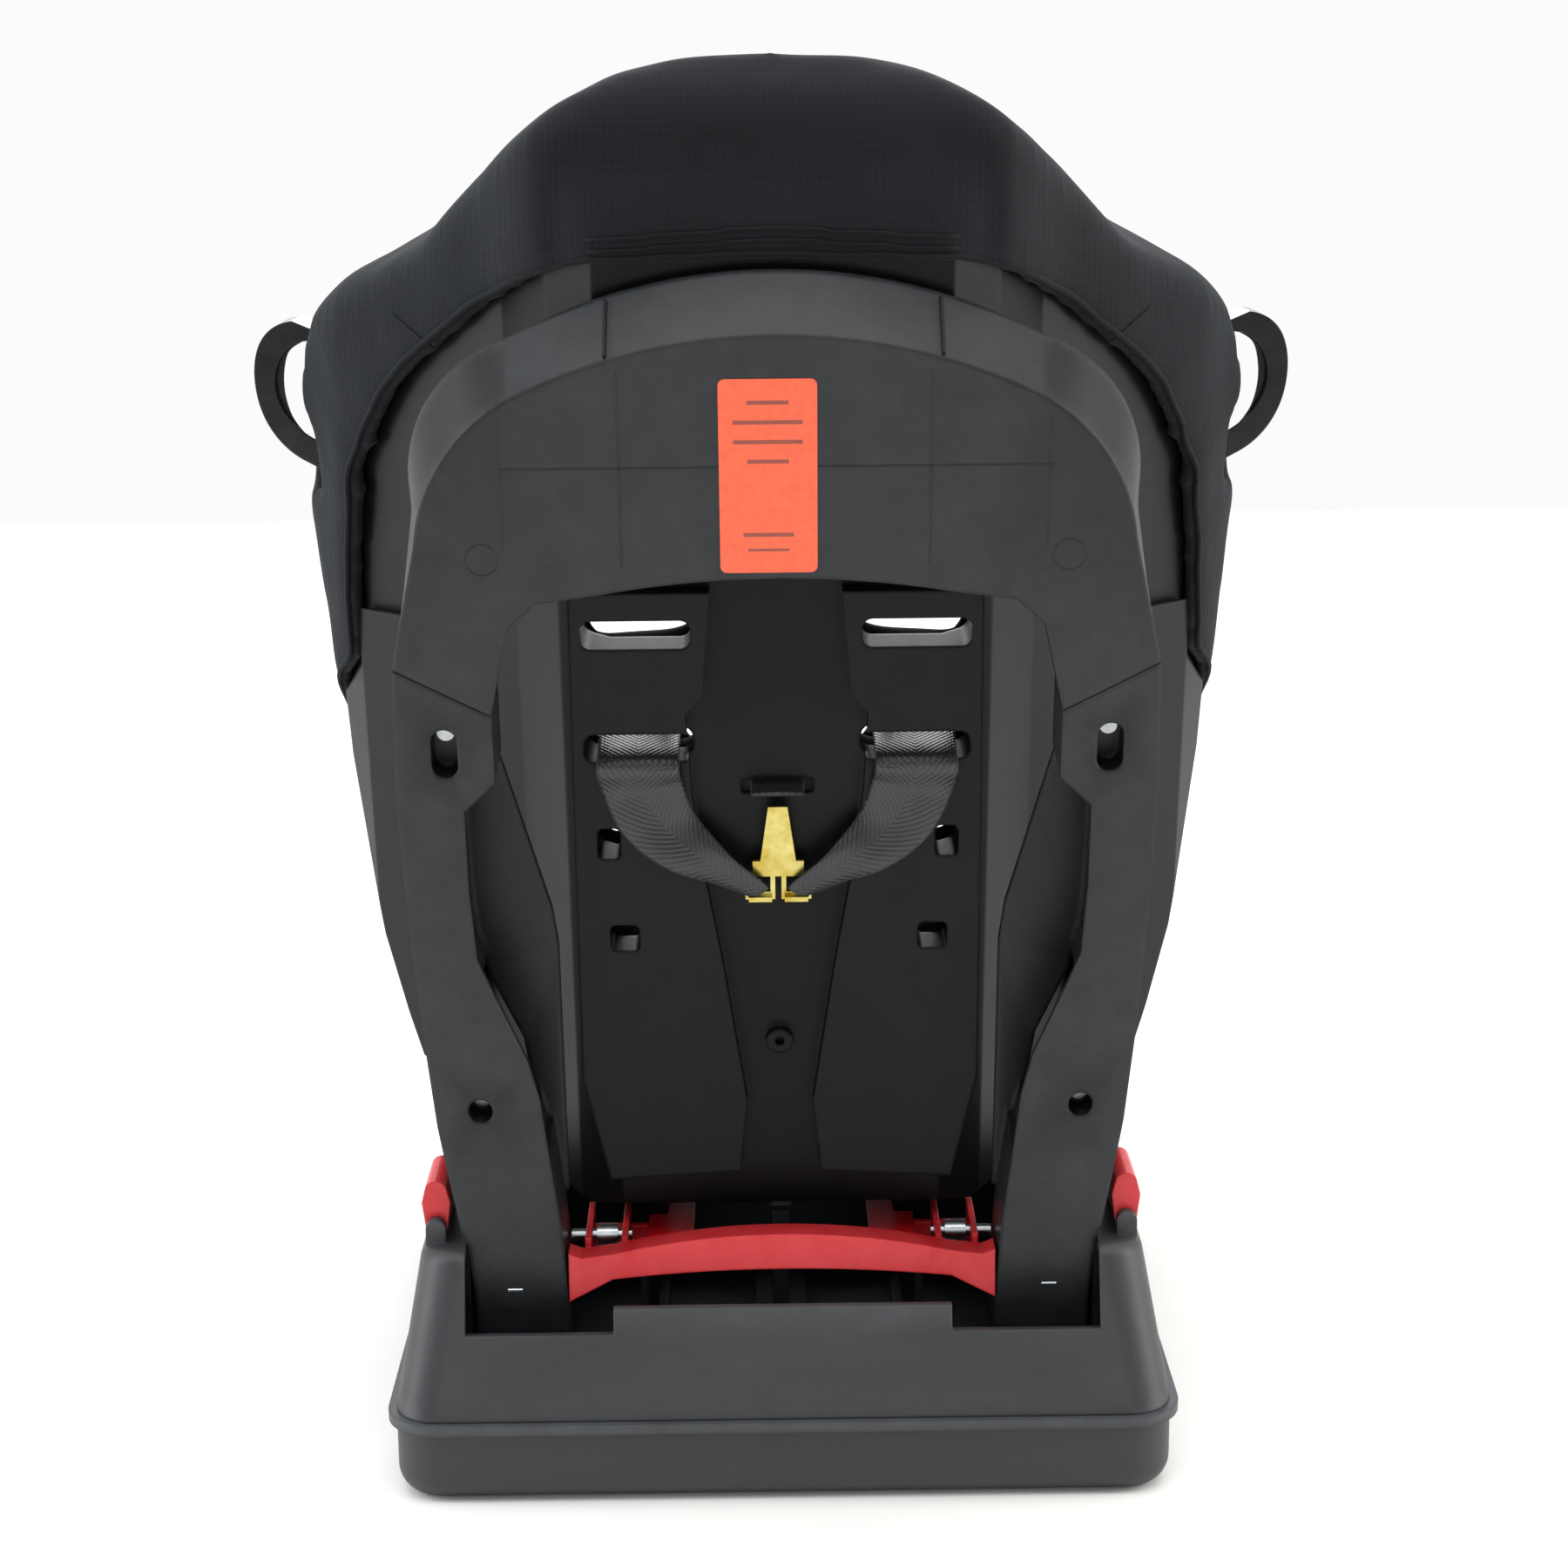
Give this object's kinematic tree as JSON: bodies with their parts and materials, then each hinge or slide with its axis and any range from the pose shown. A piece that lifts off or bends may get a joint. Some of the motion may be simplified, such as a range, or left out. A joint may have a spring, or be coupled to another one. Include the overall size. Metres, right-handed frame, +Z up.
{
  "type": "convertible child car seat",
  "caption": "Convertible child car seat with a padded reclining bucket, five-point harness and a plastic base with a tall rear support frame.",
  "frame": {"origin": "on the ground under the middle of the base", "axes": "+Z up; the child faces -Y; +X is the child's left"},
  "size_m": [0.5092, 0.5296, 0.684],
  "materials": {
    "dark_plastic": "moulded polypropylene with a fine spark-eroded grain, dark charcoal",
    "shell_plastic": "moulded polypropylene, black, semi-matte",
    "trim_plastic": "black polyamide, satin to glossy",
    "red_plastic": "red polypropylene, satin",
    "cover_fabric": "black knitted polyester over thin wadding",
    "cushion_fabric": "black knitted polyester over foam",
    "webbing": "black woven polyester webbing",
    "zinc_steel": "pressed steel, yellow passivated zinc",
    "steel": "bright zinc-plated steel",
    "label_film": "orange printed polyester film, no lettering"
  },
  "bodies": {
    "base": {"base_tray": "dark_plastic", "base_housing": "dark_plastic", "frame_leg_left": "dark_plastic", "frame_leg_right": "dark_plastic", "frame_arch": "dark_plastic", "frame_screws": "steel", "rating_label": "label_film", "belt_bridge": "red_plastic", "bridge_pins": "steel", "recline_rail_left": "dark_plastic", "recline_rail_right": "dark_plastic", "latch_rack": "dark_plastic"},
    "seat": {"seat_shell": "shell_plastic", "seat_cover": "cover_fabric", "side_panel_left": "shell_plastic", "side_panel_right": "shell_plastic", "recline_shoe_left": "shell_plastic", "recline_shoe_right": "shell_plastic", "belt_guide_left": "trim_plastic", "belt_guide_right": "trim_plastic", "seat_cushion": "cushion_fabric", "back_cushion": "cushion_fabric", "head_cushion": "cushion_fabric", "side_cushion_left": "cushion_fabric", "side_cushion_right": "cushion_fabric", "shoulder_strap_left": "webbing", "shoulder_strap_right": "webbing", "rear_strap_left": "webbing", "rear_strap_right": "webbing", "hip_strap_left": "webbing", "hip_strap_right": "webbing", "crotch_strap": "webbing", "crotch_pad": "cushion_fabric", "crotch_anchor": "steel", "adjuster_strap": "webbing", "adjuster_housing": "trim_plastic", "adjuster_pin": "steel", "buckle_housing": "trim_plastic", "buckle_tongue_left": "steel", "buckle_tongue_right": "steel"},
    "handle": {"recline_handle": "trim_plastic", "latch_bolt": "steel"},
    "clamp_left": {"belt_clamp_left": "red_plastic"},
    "clamp_right": {"belt_clamp_right": "red_plastic"},
    "button": {"buckle_button": "red_plastic"},
    "yoke": {"harness_yoke": "zinc_steel"},
    "adjuster": {"adjuster_lever": "red_plastic"},
    "pad_left": {"chest_pad_left": "cushion_fabric"},
    "pad_right": {"chest_pad_right": "cushion_fabric"}
  },
  "joints": [
    {"name": "recline", "type": "hinge", "parent": "base", "child": "seat", "pos_m": [0, 0.12, 0.64], "axis": [-1, 0, 0], "range_deg": [0, 12]},
    {"name": "recline_handle_pull", "type": "slide", "parent": "seat", "child": "handle", "axis": [0, -1, 0], "range_m": [0, 0.015], "stiffness_N_per_m": 300},
    {"name": "belt_clamp_left_open", "type": "hinge", "parent": "base", "child": "clamp_left", "pos_m": [0.169, 0.14, 0.128], "axis": [0, 1, 0], "range_deg": [0, 60]},
    {"name": "belt_clamp_right_open", "type": "hinge", "parent": "base", "child": "clamp_right", "pos_m": [-0.169, 0.14, 0.128], "axis": [0, -1, 0], "range_deg": [0, 60]},
    {"name": "buckle_button_press", "type": "slide", "parent": "seat", "child": "button", "axis": [0, 0.9135, -0.4067], "range_m": [0, 0.004], "stiffness_N_per_m": 800},
    {"name": "yoke_slide", "type": "slide", "parent": "seat", "child": "yoke", "axis": [0, -0.1961, -0.9806], "range_m": [0, 0.025], "deforming": ["rear_strap_left", "rear_strap_right"]},
    {"name": "adjuster_lever_lift", "type": "hinge", "parent": "seat", "child": "adjuster", "pos_m": [0, -0.256, 0.189], "axis": [-1, 0, 0], "range_deg": [0, 50], "stiffness_Nm_per_rad": 0.3},
    {"name": "chest_pad_left_slide", "type": "slide", "parent": "seat", "child": "pad_left", "axis": [0.2026, 0.8671, 0.455], "range_m": [-0.02, 0.012]},
    {"name": "chest_pad_right_slide", "type": "slide", "parent": "seat", "child": "pad_right", "axis": [-0.2026, 0.8671, 0.455], "range_m": [-0.02, 0.012]}
  ]
}
